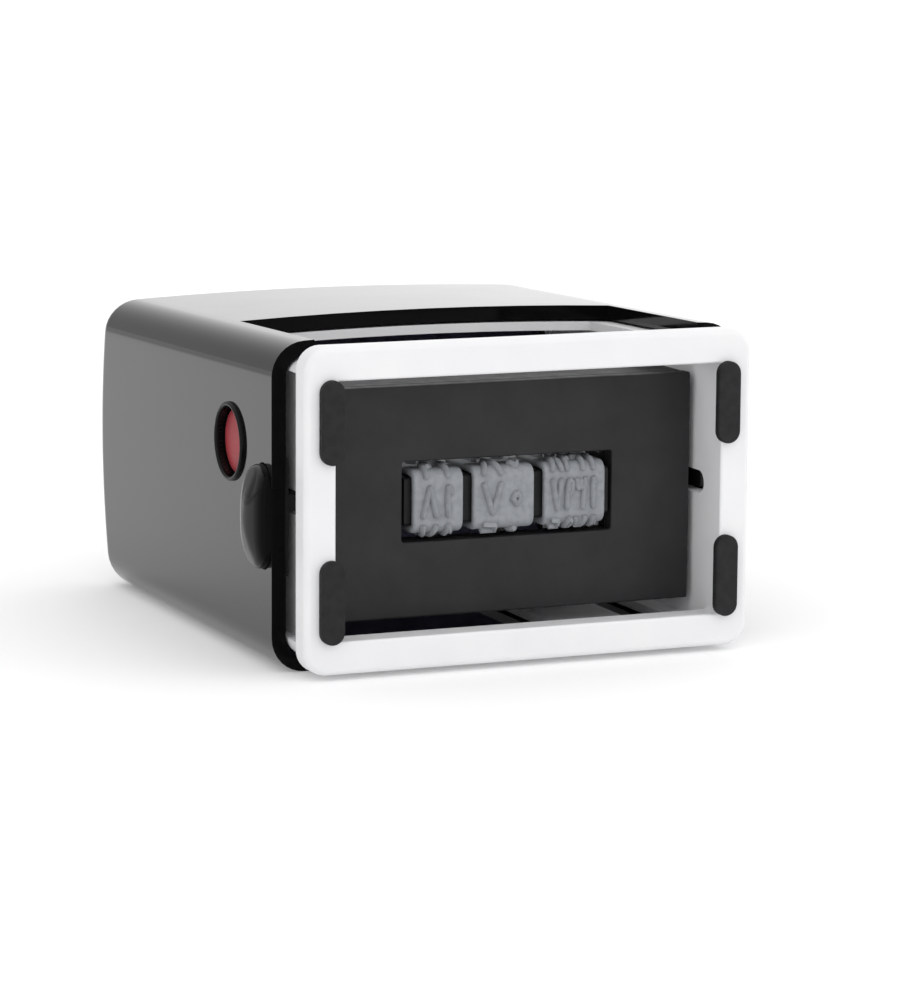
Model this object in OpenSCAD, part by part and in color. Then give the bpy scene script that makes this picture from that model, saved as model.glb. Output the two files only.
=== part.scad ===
// Self-inking date stamp, pressed and locked, lying on its back.
// The stamp is drawn upright, standing on its feet with its front towards -Y and the face of its
// foot flange at Z = 0. The module lay() then lays it on its back, feet towards -Y and front up.

/* [Foot flange] */
// Width of the foot flange
flange_w = 61.2; // [58:0.2:66]
// Depth of the foot flange
flange_d = 41.1; // [40:0.1:46]
// Thickness of the foot flange
flange_t = 3.5; // [2.5:0.1:4.5]
// Corner radius of the foot flange
flange_r = 3; // [1.5:0.1:4]
// Width of the flange's side bars
side_bar = 4.1; // [3.8:0.1:4.6]
// Width of the flange's front and back bars
front_bar = 4.25; // [3.9:0.05:4.6]

/* [Rubber feet] */
// Width of a foot
foot_w = 3.15; // [2.5:0.05:4]
// Length of a foot, round ends included
foot_l = 10.6; // [7:0.1:12]
// Height of a foot
foot_h = 1; // [0.6:0.1:1.8]
// Distance from the flange's side edge to the middle of a foot
foot_inset = 3.45; // [2.5:0.05:4]
// Distance from the middle of the stamp to the middle of a foot
foot_y = 11.25; // [8:0.05:12]

/* [Frame] */
// Thickness of the side walls
side_wall = 2; // [1.6:0.1:2.2]
// Thickness of the front and back walls
front_wall = 1.2; // [0.9:0.1:1.4]
// Clearance between the frame's posts and the cap
cap_gap = 0.3; // [0.2:0.05:0.5]
// Depth of a corner post
post_d = 2.2; // [1.8:0.1:2.4]
// Width of a post's return along the front or the back
post_return = 2.8; // [2:0.1:4]
// Width of the rib in the frame's back
rib_w = 10.4; // [6:0.1:12]
// Distance of the back rib from the middle
rib_x = 12.7; // [8:0.1:14]

/* [Cap] */
// Overhang of the cap beyond the flange at the sides
cap_side_over = 1.6; // [1.4:0.1:2]
// Overhang of the cap beyond the flange at the front and back
cap_front_over = 0.75; // [0.5:0.05:1]
// Wall thickness of the cap
cap_wall = 1.9; // [1.6:0.1:2.1]
// Radius of the cap's upright edges
cap_r = 4.5; // [3.5:0.05:6]
// Gap between the flange and the cap's rim
rim_gap = 4; // [3:0.1:5]
// Height of the cap, from its rim to the crown of its top
cap_h = 70.5; // [68:0.5:80]
// Rise of the crowned top from its edges to its middle
crown = 3.4; // [2:0.1:6]
// How far the cap's front leans in from the rim to the top
front_lean = 1.9; // [0.5:0.1:2.2]
// Rise of the bowed front from its sides to its middle
front_bow = 0.95; // [0.4:0.05:1.4]
// Height of the cutout in the cap's front
cutout_h = 27; // [22:0.5:30]
// Width of the cutout in the cap's front
cutout_w = 53; // [46:0.5:54]

/* [Die] */
// Gap between the text plate and the flange's opening at the sides
plate_side_gap = 0.8; // [0.6:0.1:2]
// Gap between the text plate and the flange's opening at the front and back
plate_front_gap = 1.45; // [1.4:0.05:3]
// Thickness of the text plate
plate_t = 2; // [1.2:0.1:2.4]
// Depth of the text plate's face behind the flange's face
plate_recess = 7.6; // [6.8:0.1:9]
// Distance of the text plate and its window behind the middle of the stamp
plate_y = 0.6; // [0:0.05:0.8]
// Distance from the text plate's face to the swivel axis
swivel_h = 7.5; // [7:0.1:8]
// Width of the window in the text plate
window_w = 29.1; // [28.8:0.1:34]
// Height of the window in the text plate
window_d = 10.3; // [10.3:0.1:13]
// Thickness of the carrier's base
base_t = 1.9; // [1.2:0.1:2.5]
// Height of the carrier's front lip above its base
lip_h = 3.1; // [1:0.1:4]
// Thickness of the carrier's front lip
lip_t = 1.4; // [1:0.1:2]
// Thickness of the carrier's cheeks
cheek_t = 2; // [1.5:0.1:3]

/* [Swivel] */
// Travel of the cap from locked to released
travel = 29; // [28:0.5:30]
// Diameter of a trunnion in the guide slot
trunnion_d = 2.8; // [2.4:0.1:3.2]
// Diameter of a trunnion's end in the bow
trunnion_end_d = 2; // [1.6:0.1:2.2]
// Diameter of a cam pin
cam_pin_d = 2; // [1.6:0.1:2.2]
// Distance of a cam pin from the swivel axis
cam_r = 5.5; // [5:0.1:6]
// Depth of the cam groove in the side wall
cam_depth = 1.3; // [1:0.1:1.4]
// Radial clearance of a pin in its bore
pin_gap = 0.05; // [0.02:0.01:0.1]
// Radial clearance of a pin in its slot or groove
slot_gap = 0.1; // [0.05:0.01:0.2]

/* [Press bow] */
// Half width of the bow's legs
bow_half = 8; // [6:0.5:9]
// Thickness of a bow leg
bow_t = 1.3; // [1:0.05:1.35]
// Thickness of the bow's crossbar
bow_bar = 2; // [1.5:0.1:3]

/* [Date bands] */
// Width of the day band
day_band_w = 6.9; // [6:0.1:8]
// Width of the month band
month_band_w = 8.5; // [7:0.1:9]
// Width of the year band
year_band_w = 8.6; // [7:0.1:9]
// Gap between two bands
band_gap = 1.35; // [1.3:0.05:1.6]
// Outer radius of a band where it goes round its wheel
band_r = 4.1; // [3.9:0.05:4.2]
// Thickness of a band
band_t = 1; // [0.8:0.05:1.1]
// Height of the raised characters
char_h = 0.6; // [0.4:0.05:0.9]
// Height of a character along the band
char_l = 4; // [3:0.1:4.4]
// How far the bands stand out of the text plate
band_proud = 0.8; // [0.4:0.1:1]

/* [Setting wheels] */
// Distance from the text plate's face to the wheels' axle
axle_h = 14; // [13.5:0.1:14.2]
// Diameter of the wheels' axle
axle_d = 3; // [2.5:0.1:3.4]
// Radius of a setting wheel
wheel_r = 7.5; // [6.5:0.1:7.8]
// Thickness of a setting wheel's rim
wheel_t = 0.9; // [0.7:0.05:0.95]
// Number of teeth round a setting wheel
wheel_teeth = 24; // [16:1:30]
// Depth of the teeth
tooth_h = 0.5; // [0.3:0.05:0.8]
// Thickness of the yokes that hold the axle
yoke_t = 1.8; // [1.4:0.1:2.4]
// Thickness of an axle clip
clip_t = 0.6; // [0.4:0.1:1]
// Radius of an axle clip
clip_r = 2.7; // [2.4:0.1:3.2]

/* [Ink cartridge] */
// Gap between the released characters and the ink pad
pad_gap = 0.7; // [0.2:0.1:0.8]
// Thickness of the ink pad
pad_t = 4.5; // [3:0.1:5]
// How far the pad stands out of its tray
pad_proud = 0.6; // [0.3:0.1:1]
// Wall thickness of the ink tray
tray_wall = 0.8; // [0.6:0.05:1]
// Thickness of the ink tray's closed side
tray_floor = 1.5; // [1:0.1:2]
// Thickness of the ledges under the tray
ledge_t = 1.4; // [1:0.1:1.6]
// Width of the ledges under the tray
ledge_w = 0.5; // [0.4:0.05:0.6]

/* [Return springs] */
// Distance of a spring behind the middle
spring_y = 12.5; // [12:0.1:13]
// Diameter of the spring's wire
wire_d = 0.4; // [0.3:0.05:0.5]
// Mean radius of a spring
spring_r = 0.9; // [0.7:0.05:0.95]
// Height of a spring's seat above the cap's rim
spring_up = 9; // [4:0.5:10]
// Length of a spring with the cap locked
spring_l = 19.5; // [16:0.5:24]
// Number of curls in a spring
curls = 16; // [12:1:20]

/* [Lock buttons] */
// Length of a lock button
lock_l = 13.3; // [10:0.1:14]
// Width of a lock button
lock_w = 5.5; // [4.6:0.1:5.6]
// How far a lock button stands out of the cap
lock_proud = 2.9; // [1.2:0.1:3.2]
// Radius of a lock button's face across its width
lock_dome_r = 3.2; // [2.9:0.1:6]
// Distance of a lock button behind the middle
lock_y = 1.7; // [1:0.1:2.5]
// Travel of a lock button
lock_travel = 0.9; // [0.5:0.05:0.9]

/* [Red buttons] */
// Diameter of the hole in the cap
red_hole_d = 9; // [8.8:0.1:9.6]
// Width of the collar round the hole
red_lip_w = 0.6; // [0.4:0.05:1]
// How far the collar stands out of the cap
red_lip_h = 0.5; // [0.2:0.05:0.8]
// Diameter of a red button
red_d = 8.4; // [7:0.1:8.4]
// Depth of a red button's face below the outside of the cap
red_depth = 0.5; // [0.3:0.1:1.4]
// Distance of a red button in front of the middle
red_y = 6.1; // [6.1:0.1:7.5]
// Height of a red button above the cap's rim
red_up = 15; // [14.5:0.1:15.6]
// Travel of a red button
red_travel = 0.7; // [0.4:0.05:0.7]

/* [Hidden] */
$fn = 48;
eps = 0.01;
// Clearance between pieces that move past each other
run_gap = 0.3;
// Clearance round a piece that sits or slides in a shaped hole
seat_gap = 0.15;
// Radius of the edges round the cap's top
top_edge_r = 3.5;

// Foot flange and frame
open_w = flange_w - 2 * side_bar;
open_d = flange_d - 2 * front_bar;
wall_in = open_w / 2;
wall_out = wall_in + side_wall;
cap_w = flange_w + 2 * cap_side_over;
cap_d = flange_d + 2 * cap_front_over;
cap_in_x = cap_w / 2 - cap_wall;
cap_in_y = cap_d / 2 - cap_wall;
post_x = cap_in_x - cap_gap;
post_y = cap_in_y - cap_gap;
post_in_y = post_y - post_d;
front_in_y = post_y - front_wall;

// Cap
rim_z = flange_t + rim_gap;
cutout_z = rim_z + cutout_h;
crown_z = rim_z + cap_h;
crown_r = (pow(cap_d / 2, 2) + pow(crown, 2)) / (2 * crown);
bow_r = (pow(cap_w / 2, 2) + pow(front_bow, 2)) / (2 * front_bow);
lean_angle = atan(front_lean / cap_h);
function lean_at(z) = (z - rim_z) * tan(lean_angle);

// Die, at rest with its face down
plate_w = open_w - 2 * plate_side_gap;
plate_d = open_d - 2 * plate_front_gap;
base_z = plate_recess + plate_t;
base_top = base_z + base_t;
swivel_z = plate_recess + swivel_h;
cheek_out = wall_in - run_gap;
cheek_in = cheek_out - cheek_t;
cheek_half_y = cam_r + cam_pin_d / 2 + 0.7;
cheek_top = swivel_z + swivel_h;
axle_z = plate_recess + axle_h;
bands_w = day_band_w + month_band_w + year_band_w + 2 * band_gap;
yoke_in = bands_w / 2 + band_gap + 0.7;
yoke_out = yoke_in + yoke_t;
yoke_half_y = axle_d / 2 + 2.5;
band_z = plate_recess - band_proud;
hub_r = band_r - band_t - pin_gap;

// Ink cartridge, above the released die
pad_z = swivel_z + travel + (swivel_z - band_z) + char_h + pad_gap;
tray_z = pad_z + pad_proud;
tray_top = pad_z + pad_t + tray_floor;
tray_half_x = wall_in - seat_gap;
frame_top = tray_top + run_gap;
tray_half_y = front_in_y - lean_at(frame_top);

// Guide slot and cam groove
slot_r = trunnion_d / 2 + slot_gap;
slot_low = flange_t + slot_r + 1.4;
slot_high = swivel_z + travel + slot_gap;
groove_w = cam_pin_d + 2 * slot_gap;
groove_steps = 36;

// Bow, springs and buttons
bow_out = cap_in_x;
bow_in = bow_out - bow_t;
bow_z = swivel_z - trunnion_end_d / 2 - pin_gap - 0.55;
bow_drop = crown_r - sqrt(pow(crown_r, 2) - pow(bow_half, 2));
bow_top = crown_z - top_edge_r - bow_drop - run_gap;
bow_neck = trunnion_end_d / 2 + 0.6;
red_z = rim_z + red_up;
red_lug_w = 3;
red_lug_l = red_hole_d + 1.2;
red_face = cap_w / 2 - red_depth;
red_back = wall_out + run_gap + red_travel;
bow_wide_z = red_z + red_lug_l / 2 + 2 * run_gap;
spring_x = cap_in_x - run_gap - spring_r - wire_d / 2;
well_w = 2 * spring_r + wire_d + 2 * run_gap;
spring_z = rim_z + spring_up;
spring_seat = 1.5;
spring_top = spring_z + spring_l;
spring_tab = 3;
lock_z = bow_z - run_gap - lock_w / 2;
lock_flange_t = 0.55;
lock_flange_l = lock_l + 1.5;
lock_tongue_w = 2 * slot_r - 2 * run_gap;
lock_tongue_l = 3;

// The stamp lies on its back, centred over its own outline
mid_z = (crown_z - foot_h) / 2;

cap_black = [0.05, 0.05, 0.055];
frame_white = [0.94, 0.94, 0.95];
rubber_black = [0.17, 0.17, 0.18];
plate_grey = [0.18, 0.18, 0.19];
band_grey = [0.58, 0.61, 0.65];
red = [0.72, 0.18, 0.24];
steel = [0.75, 0.76, 0.78];
felt = [0.20, 0.20, 0.26];

// Helpers

module lay() {
    translate([0, -mid_z, cap_d / 2]) rotate([-90, 0, 0]) children();
}

// side is 1 for the right and -1 for the left
module on_side(side) {
    mirror([side < 0 ? 1 : 0, 0, 0]) children();
}

// Extrudes a drawing of depth and height along X
module across(x0, x1) {
    translate([x0, 0, 0]) rotate([90, 0, 90]) linear_extrude(x1 - x0) children();
}

module block(x, y, z) {
    translate([x[0], y[0], z[0]]) cube([x[1] - x[0], y[1] - y[0], z[1] - z[0]]);
}

module rod(x0, x1, d, y, z) {
    translate([x0, y, z]) rotate([0, 90, 0]) cylinder(h = x1 - x0, d = d);
}

module rounded_rect(w, d, r) {
    square([w - 2 * r, d], center = true);
    square([w, d - 2 * r], center = true);
    for (sx = [-1, 1], sy = [-1, 1])
        translate([sx * (w / 2 - r), sy * (d / 2 - r)]) circle(r);
}

module capsule(l, w) {
    square([l - w, w], center = true);
    for (s = [-1, 1]) translate([s * (l - w) / 2, 0]) circle(d = w);
}

// Foot flange, posts, walls, ledges and slots of the frame

module flange() {
    linear_extrude(flange_t) difference() {
        rounded_rect(flange_w, flange_d, flange_r);
        square([open_w, open_d], center = true);
    }
}

// The room inside the cap, less a clearance or a wall
module cap_room(inset, low, high) {
    intersection() {
        upright_prism(inset, low, high);
        leaning_prism(inset);
    }
}

// Walls along the front and the back, between two distances from the middle
module long_walls(x0, x1, low, high) {
    difference() {
        intersection() {
            cap_room(cap_wall + cap_gap, low, high);
            block([x0, x1], [-cap_d, cap_d], [low, high]);
        }
        cap_room(cap_wall + cap_gap + front_wall, low - 1, high + 1);
    }
}

module frame_walls() {
    for (sx = [-1, 1]) on_side(sx) {
        block([wall_in, wall_out], [-post_in_y, post_in_y], [flange_t, frame_top]);
        block([wall_in - ledge_w, wall_in + eps], [-post_in_y, post_in_y], [tray_z - ledge_t, tray_z]);
        block([wall_in, post_x], [spring_y - well_w / 2, spring_y + well_w / 2],
            [spring_z - spring_seat, spring_z]);
        long_walls(wall_in - post_return, wall_in + eps, flange_t, cutout_z + eps);
    }
    intersection() {
        cap_room(cap_wall + cap_gap, flange_t, frame_top);
        for (sx = [-1, 1], sy = [-1, 1])
            translate([sx * (wall_in + post_x) / 2, sy * (post_in_y + cap_d / 2) / 2, frame_top / 2])
                cube([post_x - wall_in, cap_d / 2 - post_in_y, frame_top], center = true);
    }
    long_walls(-wall_in - eps, wall_in + eps, cutout_z, tray_z - ledge_t);
    intersection() {
        long_walls(rib_x - rib_w / 2, rib_x + rib_w / 2, flange_t, cutout_z + eps);
        block([-cap_w, cap_w], [0, cap_d], [0, crown_z]);
    }
}

module guide_slot() {
    across(wall_in - 1, wall_out + 1) translate([0, (slot_low + slot_high) / 2]) rotate(90)
        capsule(slot_high - slot_low + 2 * slot_r, 2 * slot_r);
}

// Path of a cam pin in the frame, as the cap rises by s and the die turns with it
function turn(s) = 180 * s / travel;
function cam_at(s) = [cam_r * cos(turn(s)), swivel_z + s + cam_r * sin(turn(s))];
function cam_way(s) = [-cam_r * sin(turn(s)) * PI / travel, 1 + cam_r * cos(turn(s)) * PI / travel];
function cam_side(s, off) = cam_at(s) + off * [-cam_way(s)[1], cam_way(s)[0]] / norm(cam_way(s));

module cam_groove() {
    steps = [for (i = [0 : groove_steps]) travel * i / groove_steps];
    across(wall_in - 1, wall_in + cam_depth) {
        polygon(concat([for (s = steps) cam_side(s, groove_w / 2)],
            [for (i = [groove_steps : -1 : 0]) cam_side(steps[i], -groove_w / 2)]));
        for (s = [0, travel]) translate(cam_at(s)) circle(d = groove_w);
    }
}

module spring_well() {
    block([spring_x - spring_r - wire_d / 2 - run_gap, wall_out + 1],
        [spring_y - well_w / 2, spring_y + well_w / 2], [spring_z, frame_top + 1]);
}

module base_frame() {
    color(frame_white) lay() difference() {
        union() {
            flange();
            frame_walls();
        }
        for (s = [-1, 1]) on_side(s) {
            guide_slot();
            cam_groove();
            spring_well();
        }
    }
}

module foot(sx, sy) {
    color(rubber_black) lay()
        translate([sx * (flange_w / 2 - foot_inset), sy * foot_y, -foot_h])
            linear_extrude(foot_h) rotate(90) capsule(foot_l, foot_w);
}

// Ink cartridge

module ink_tray() {
    color(cap_black) lay() difference() {
        block([-tray_half_x, tray_half_x], [-tray_half_y, tray_half_y], [tray_z, tray_top]);
        block([-tray_half_x + tray_wall, tray_half_x - tray_wall],
            [-tray_half_y + tray_wall, tray_half_y - tray_wall], [tray_z - 1, tray_top - tray_floor]);
    }
}

module ink_pad() {
    inset = tray_wall + seat_gap;
    color(felt) lay()
        block([-tray_half_x + inset, tray_half_x - inset], [-tray_half_y + inset, tray_half_y - inset],
            [pad_z, pad_z + pad_t]);
}

// Return springs, each one unbroken tube wound round its own axis

spring_rings = 8;
spring_sides = 6;
spring_span = spring_l - wire_d - 2 * eps;
spring_count = curls * spring_rings;

function spring_centre(i) = [
    spring_r * cos(360 * i / spring_rings),
    spring_r * sin(360 * i / spring_rings),
    wire_d / 2 + eps + spring_span * i / spring_count
];

function spring_point(i, k) = spring_centre(i) + wire_d / 2 * [
    cos(360 * k / spring_sides) * cos(360 * i / spring_rings),
    cos(360 * k / spring_sides) * sin(360 * i / spring_rings),
    sin(360 * k / spring_sides)
];

function ring_index(i, k) = i * spring_sides + k % spring_sides;

spring_self_gap = min([for (i = [0 : spring_count - spring_rings], j = [spring_rings / 2 : spring_rings + 2])
    if (i + j <= spring_count) norm(spring_centre(i) - spring_centre(i + j)) - wire_d]);
echo(spring_self_gap = spring_self_gap);

module spring() {
    points = [for (i = [0 : spring_count], k = [0 : spring_sides - 1]) spring_point(i, k)];
    skin = [for (i = [0 : spring_count - 1], k = [0 : spring_sides - 1], h = [0, 1])
        h == 0
            ? [ring_index(i, k), ring_index(i + 1, k), ring_index(i, k + 1)]
            : [ring_index(i, k + 1), ring_index(i + 1, k), ring_index(i + 1, k + 1)]];
    ends = [for (k = [1 : spring_sides - 2], h = [0, 1])
        h == 0
            ? [ring_index(0, 0), ring_index(0, k), ring_index(0, k + 1)]
            : [ring_index(spring_count, 0), ring_index(spring_count, k + 1), ring_index(spring_count, k)]];
    polyhedron(points, concat(skin, ends));
}

module return_spring(side) {
    color(steel) lay() translate([side * spring_x, spring_y, spring_z]) spring();
}

// Cap and bow

// Outline of the cap's bowed front with its round edges, drawn in by inset and open to the back
module bowed_front(inset) {
    half_x = cap_w / 2 - inset;
    r = cap_r - inset;
    big = bow_r - inset;
    centre = [0, bow_r - cap_d / 2];
    edge = [half_x - r, centre[1] - sqrt(pow(big - r, 2) - pow(half_x - r, 2))];
    way = (edge - centre) / norm(edge - centre);
    out = edge + 2 * r * way;
    back = edge - r * way;
    translate([-half_x, edge[1]]) square([2 * half_x, cap_d]);
    for (s = [-1, 1]) translate([s * edge[0], edge[1]]) circle(r);
    intersection() {
        translate(centre) circle(big, $fn = 180);
        polygon([back, out, [-out[0], out[1]], [-back[0], back[1]]]);
    }
}

// Upright sides and back of the cap, drawn in by inset
module upright_prism(inset, low, high) {
    depth = 2 * cap_d;
    translate([0, cap_d / 2 - inset - depth / 2, low]) linear_extrude(high - low)
        rounded_rect(cap_w - 2 * inset, depth, cap_r - inset);
}

// Bowed front of the cap, drawn in by inset, which leans in above the rim
module leaning_prism(inset) {
    translate([0, -cap_d / 2, rim_z]) rotate([-lean_angle, 0, 0]) translate([0, cap_d / 2, -cap_h])
        linear_extrude(3 * cap_h) bowed_front(inset);
}

// Depth and height of the cap: a leaning front, an upright back, round edges and a crowned top
module cap_profile(inset) {
    r = top_edge_r - inset;
    big = crown_r - inset;
    centre = [0, crown_z - crown_r];
    low = rim_z - 1;
    inward = [cos(lean_angle), -sin(lean_angle)];
    along = [sin(lean_angle), cos(lean_angle)];
    front_off = ([-cap_d / 2, rim_z] - centre) * inward + inset + r;
    front = centre + front_off * inward + sqrt(pow(big - r, 2) - pow(front_off, 2)) * along;
    back_off = cap_d / 2 - inset - r;
    back = centre + [back_off, sqrt(pow(big - r, 2) - pow(back_off, 2))];
    front_way = (front - centre) / norm(front - centre);
    back_way = (back - centre) / norm(back - centre);
    reach = 3 * crown;
    polygon([front - r * inward - (front[1] - low) / cos(lean_angle) * along, [back[0] + r, low],
        back + [r, 0], (front + back) / 2 - [0, 2 * r], front - r * inward]);
    for (at = [front, back]) translate(at) circle(r);
    intersection() {
        translate(centre) circle(big, $fn = 180);
        polygon([front - 3 * r * front_way, back - 3 * r * back_way,
            back + reach * back_way, front + reach * front_way]);
    }
}

// A barrel lying along X, as round as the crown, whose ends are rounded over
module crown_barrel(half_x, big, edge) {
    translate([0, 0, crown_z - crown_r]) rotate([0, 90, 0]) rotate_extrude($fn = 180) {
        translate([0, edge - half_x]) square([big, 2 * (half_x - edge)]);
        translate([0, -half_x]) square([big - edge, 2 * half_x]);
        for (s = [-1, 1]) translate([big - edge, s * (half_x - edge)]) circle(edge);
    }
}

module cap_form(inset) {
    half_x = cap_w / 2 - inset;
    intersection() {
        upright_prism(inset, rim_z - inset, crown_z - inset);
        leaning_prism(inset);
        across(-cap_w, cap_w) cap_profile(inset);
        crown_barrel(half_x, crown_r - inset, top_edge_r - inset);
    }
}

module lock_outline(grow) {
    translate([lock_y, lock_z]) capsule(lock_l + 2 * grow, lock_w + 2 * grow);
}

module cap_shell() {
    cutout_in = cap_in_y - lean_at(cutout_z) - front_bow;
    notch_half = lock_l / 2 - lock_w / 2;
    color(cap_black) lay() difference() {
        union() {
            cap_form(0);
            for (s = [-1, 1]) on_side(s)
                rod(cap_in_x + cap_wall / 2, cap_w / 2 + red_lip_h, red_hole_d + 2 * red_lip_w,
                    -red_y, red_z);
        }
        cap_form(cap_wall);
        block([-cutout_w / 2, cutout_w / 2], [-cap_d, -cutout_in], [rim_z - 1, cutout_z]);
        for (s = [-1, 1]) on_side(s) {
            rod(cap_in_x - 1, cap_w, red_hole_d, -red_y, red_z);
            across(cap_in_x - 1, cap_w) {
                lock_outline(seat_gap);
                translate([lock_y - notch_half, rim_z - 1]) square([2 * notch_half, lock_z - rim_z + 1]);
            }
        }
    }
}

module press_bow() {
    tab_y = spring_y + spring_r + wire_d / 2;
    color(cap_black) lay() {
        for (s = [-1, 1]) on_side(s) {
            difference() {
                across(bow_in, bow_out) polygon([
                    [-bow_neck, bow_z], [bow_neck, bow_z], [bow_half, bow_z + bow_half],
                    [bow_half, spring_top], [tab_y, spring_top], [tab_y, spring_top + spring_tab],
                    [bow_half, spring_top + 2 * spring_tab], [bow_half, bow_top], [-bow_half, bow_top],
                    [-bow_half, bow_wide_z], [-bow_neck, bow_wide_z]
                ]);
                rod(bow_in - 1, bow_out + 1, trunnion_end_d + 2 * pin_gap, 0, swivel_z);
            }
            block([spring_x - spring_r, bow_in + eps], [2 * spring_y - tab_y, tab_y],
                [spring_top, spring_top + spring_tab]);
        }
        block([-bow_out, bow_out], [-bow_half, bow_half], [bow_top - bow_bar, bow_top]);
    }
}

module lock_button(side) {
    out_x = cap_w / 2 + lock_proud;
    dome_x = out_x - lock_dome_r;
    color(cap_black) lay() on_side(side) {
        intersection() {
            across(cap_in_x - eps, out_x) lock_outline(0);
            translate([out_x - lock_l, lock_y, lock_z])
                cylinder(h = 2 * lock_w, r = lock_l, center = true, $fn = 96);
            translate([0, lock_y, lock_z]) rotate([90, 0, 0]) linear_extrude(2 * lock_l, center = true) {
                translate([dome_x, 0]) circle(lock_dome_r, $fn = 96);
                translate([cap_in_x - 1, -lock_dome_r]) square([dome_x - cap_in_x + 1, 2 * lock_dome_r]);
            }
        }
        block([cap_in_x - lock_flange_t, cap_in_x],
            [lock_y - lock_flange_l / 2, lock_y + lock_flange_l / 2],
            [rim_z + run_gap, lock_z + lock_w / 2 - run_gap]);
        block([wall_out - lock_travel / 2, cap_in_x], [-lock_tongue_w / 2, lock_tongue_w / 2],
            [lock_z - lock_tongue_l / 2, lock_z + lock_tongue_l / 2]);
    }
}

// A disc in the cap's hole, kept there by lugs behind the cap's wall
module red_button(side) {
    color(red) lay() on_side(side) {
        rod(red_back, red_face, red_d, -red_y, red_z);
        block([red_back, cap_in_x - seat_gap], [-red_y - red_lug_w / 2, -red_y + red_lug_w / 2],
            [red_z - red_lug_l / 2, red_z + red_lug_l / 2]);
    }
}

// Swivelling die

module window(z0, z1) {
    block([-window_w / 2, window_w / 2], [plate_y - window_d / 2, plate_y + window_d / 2], [z0, z1]);
}

module text_plate() {
    color(plate_grey) lay() difference() {
        block([-plate_w / 2, plate_w / 2], [plate_y - plate_d / 2, plate_y + plate_d / 2],
            [plate_recess, base_z]);
        window(plate_recess - 1, base_z + 1);
    }
}

module die_carrier() {
    base_x = cheek_in + cheek_t / 2;
    base_y = plate_d / 2 - 0.8;
    lip_y = plate_y - plate_d / 2;
    yoke_top = axle_z + axle_d / 2 + 2;
    color(cap_black) lay() difference() {
        union() {
            block([-base_x, base_x], [plate_y - base_y, plate_y + base_y], [base_z, base_top]);
            block([-base_x, base_x], [lip_y, lip_y + lip_t], [base_z, base_top + lip_h]);
            for (s = [-1, 1]) on_side(s) {
                block([cheek_in, cheek_out], [-cheek_half_y, cheek_half_y], [base_z, cheek_top]);
                block([yoke_in, yoke_out], [plate_y - yoke_half_y, plate_y + yoke_half_y],
                    [base_z, yoke_top]);
                block([yoke_out - eps, cheek_in + eps], [-base_t / 2, base_t / 2],
                    [base_z, swivel_z - trunnion_d]);
            }
            rod(-yoke_in - eps, -bands_w / 2 - run_gap, axle_d + 2, plate_y, axle_z);
        }
        window(base_z - 1, base_top);
        rod(-cheek_out, cheek_out, axle_d, plate_y, axle_z);
        for (s = [-1, 1]) on_side(s) {
            rod(cheek_in - 1, cheek_out + 1, trunnion_d, 0, swivel_z);
            rod(cheek_in - 1, cheek_out + 1, cam_pin_d, cam_r, swivel_z);
        }
    }
}

module trunnion(side) {
    color(cap_black) lay() on_side(side) {
        rod(cheek_in, bow_in - seat_gap, trunnion_d, 0, swivel_z);
        rod(cheek_in, bow_out - seat_gap, trunnion_end_d, 0, swivel_z);
    }
}

module cam_pin(side) {
    color(steel) lay() on_side(side)
        rod(cheek_in, wall_in + cam_depth - run_gap, cam_pin_d, cam_r, swivel_z);
}

module band_former() {
    half = band_r - band_t - pin_gap;
    low = band_z + band_t + pin_gap;
    color(cap_black) lay() {
        across(run_gap - window_w / 2, window_w / 2 - run_gap) translate([plate_y, 0]) {
            translate([-half, low + band_t / 2]) square([2 * half, base_top - low]);
            translate([band_t / 2 - half, low]) square([2 * half - band_t, base_top - low]);
            for (s = [-1, 1]) translate([s * (half - band_t / 2), low + band_t / 2]) circle(d = band_t);
        }
        block([-yoke_in, yoke_in], [plate_y - half, plate_y + half],
            [base_top, base_top + base_t]);
    }
}

module wheel_axle() {
    color(steel) lay() rod(-yoke_out - 2 * clip_t, yoke_out + 2 * clip_t, axle_d, plate_y, axle_z);
}

module axle_clip(side) {
    color(steel) lay() on_side(side) difference() {
        rod(yoke_out, yoke_out + clip_t, 2 * clip_r, plate_y, axle_z);
        rod(yoke_out - 1, yoke_out + clip_t + 1, axle_d, plate_y, axle_z);
    }
}

// Left edge of each band, in the order day, month, year
band_widths = [day_band_w, month_band_w, year_band_w];
function band_left(n) = n == 0 ? -bands_w / 2 : band_left(n - 1) + band_widths[n - 1] + band_gap;

// Depth and height of a band: round its wheel, straight down, and flat across the nose
module band_loop(r, low, corner) {
    translate([0, axle_z]) circle(r);
    translate([-r, low + corner]) square([2 * r, axle_z - low - corner]);
    translate([corner - r, low]) square([2 * (r - corner), axle_z - low]);
    for (s = [-1, 1]) translate([s * (r - corner), low + corner]) circle(corner);
}

module date_band(n) {
    nose_r = band_t + band_t / 2;
    left = band_left(n);
    right = left + band_widths[n];
    char_w = band_widths[n] - 2 * run_gap - band_t / 2;
    middle = (left + right) / 2;
    char_pitch = char_l + band_t;
    color(band_grey) lay() {
        across(left, right) translate([plate_y, 0]) difference() {
            band_loop(band_r, band_z, nose_r);
            band_loop(band_r - band_t, band_z + band_t, nose_r - band_t);
        }
        translate([middle, plate_y, 0]) {
            block([-char_w / 2, char_w / 2], [-char_l / 2, char_l / 2], [band_z - char_h, band_z + eps]);
            for (s = [-1, 1], k = [0, 1]) scale([1, s, 1])
                translate([0, 0, band_z + nose_r + char_l / 2 + k * char_pitch])
                    block([-char_w / 2, char_w / 2], [band_r - eps, band_r + char_h],
                        [-char_l / 2, char_l / 2]);
        }
    }
}

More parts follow.
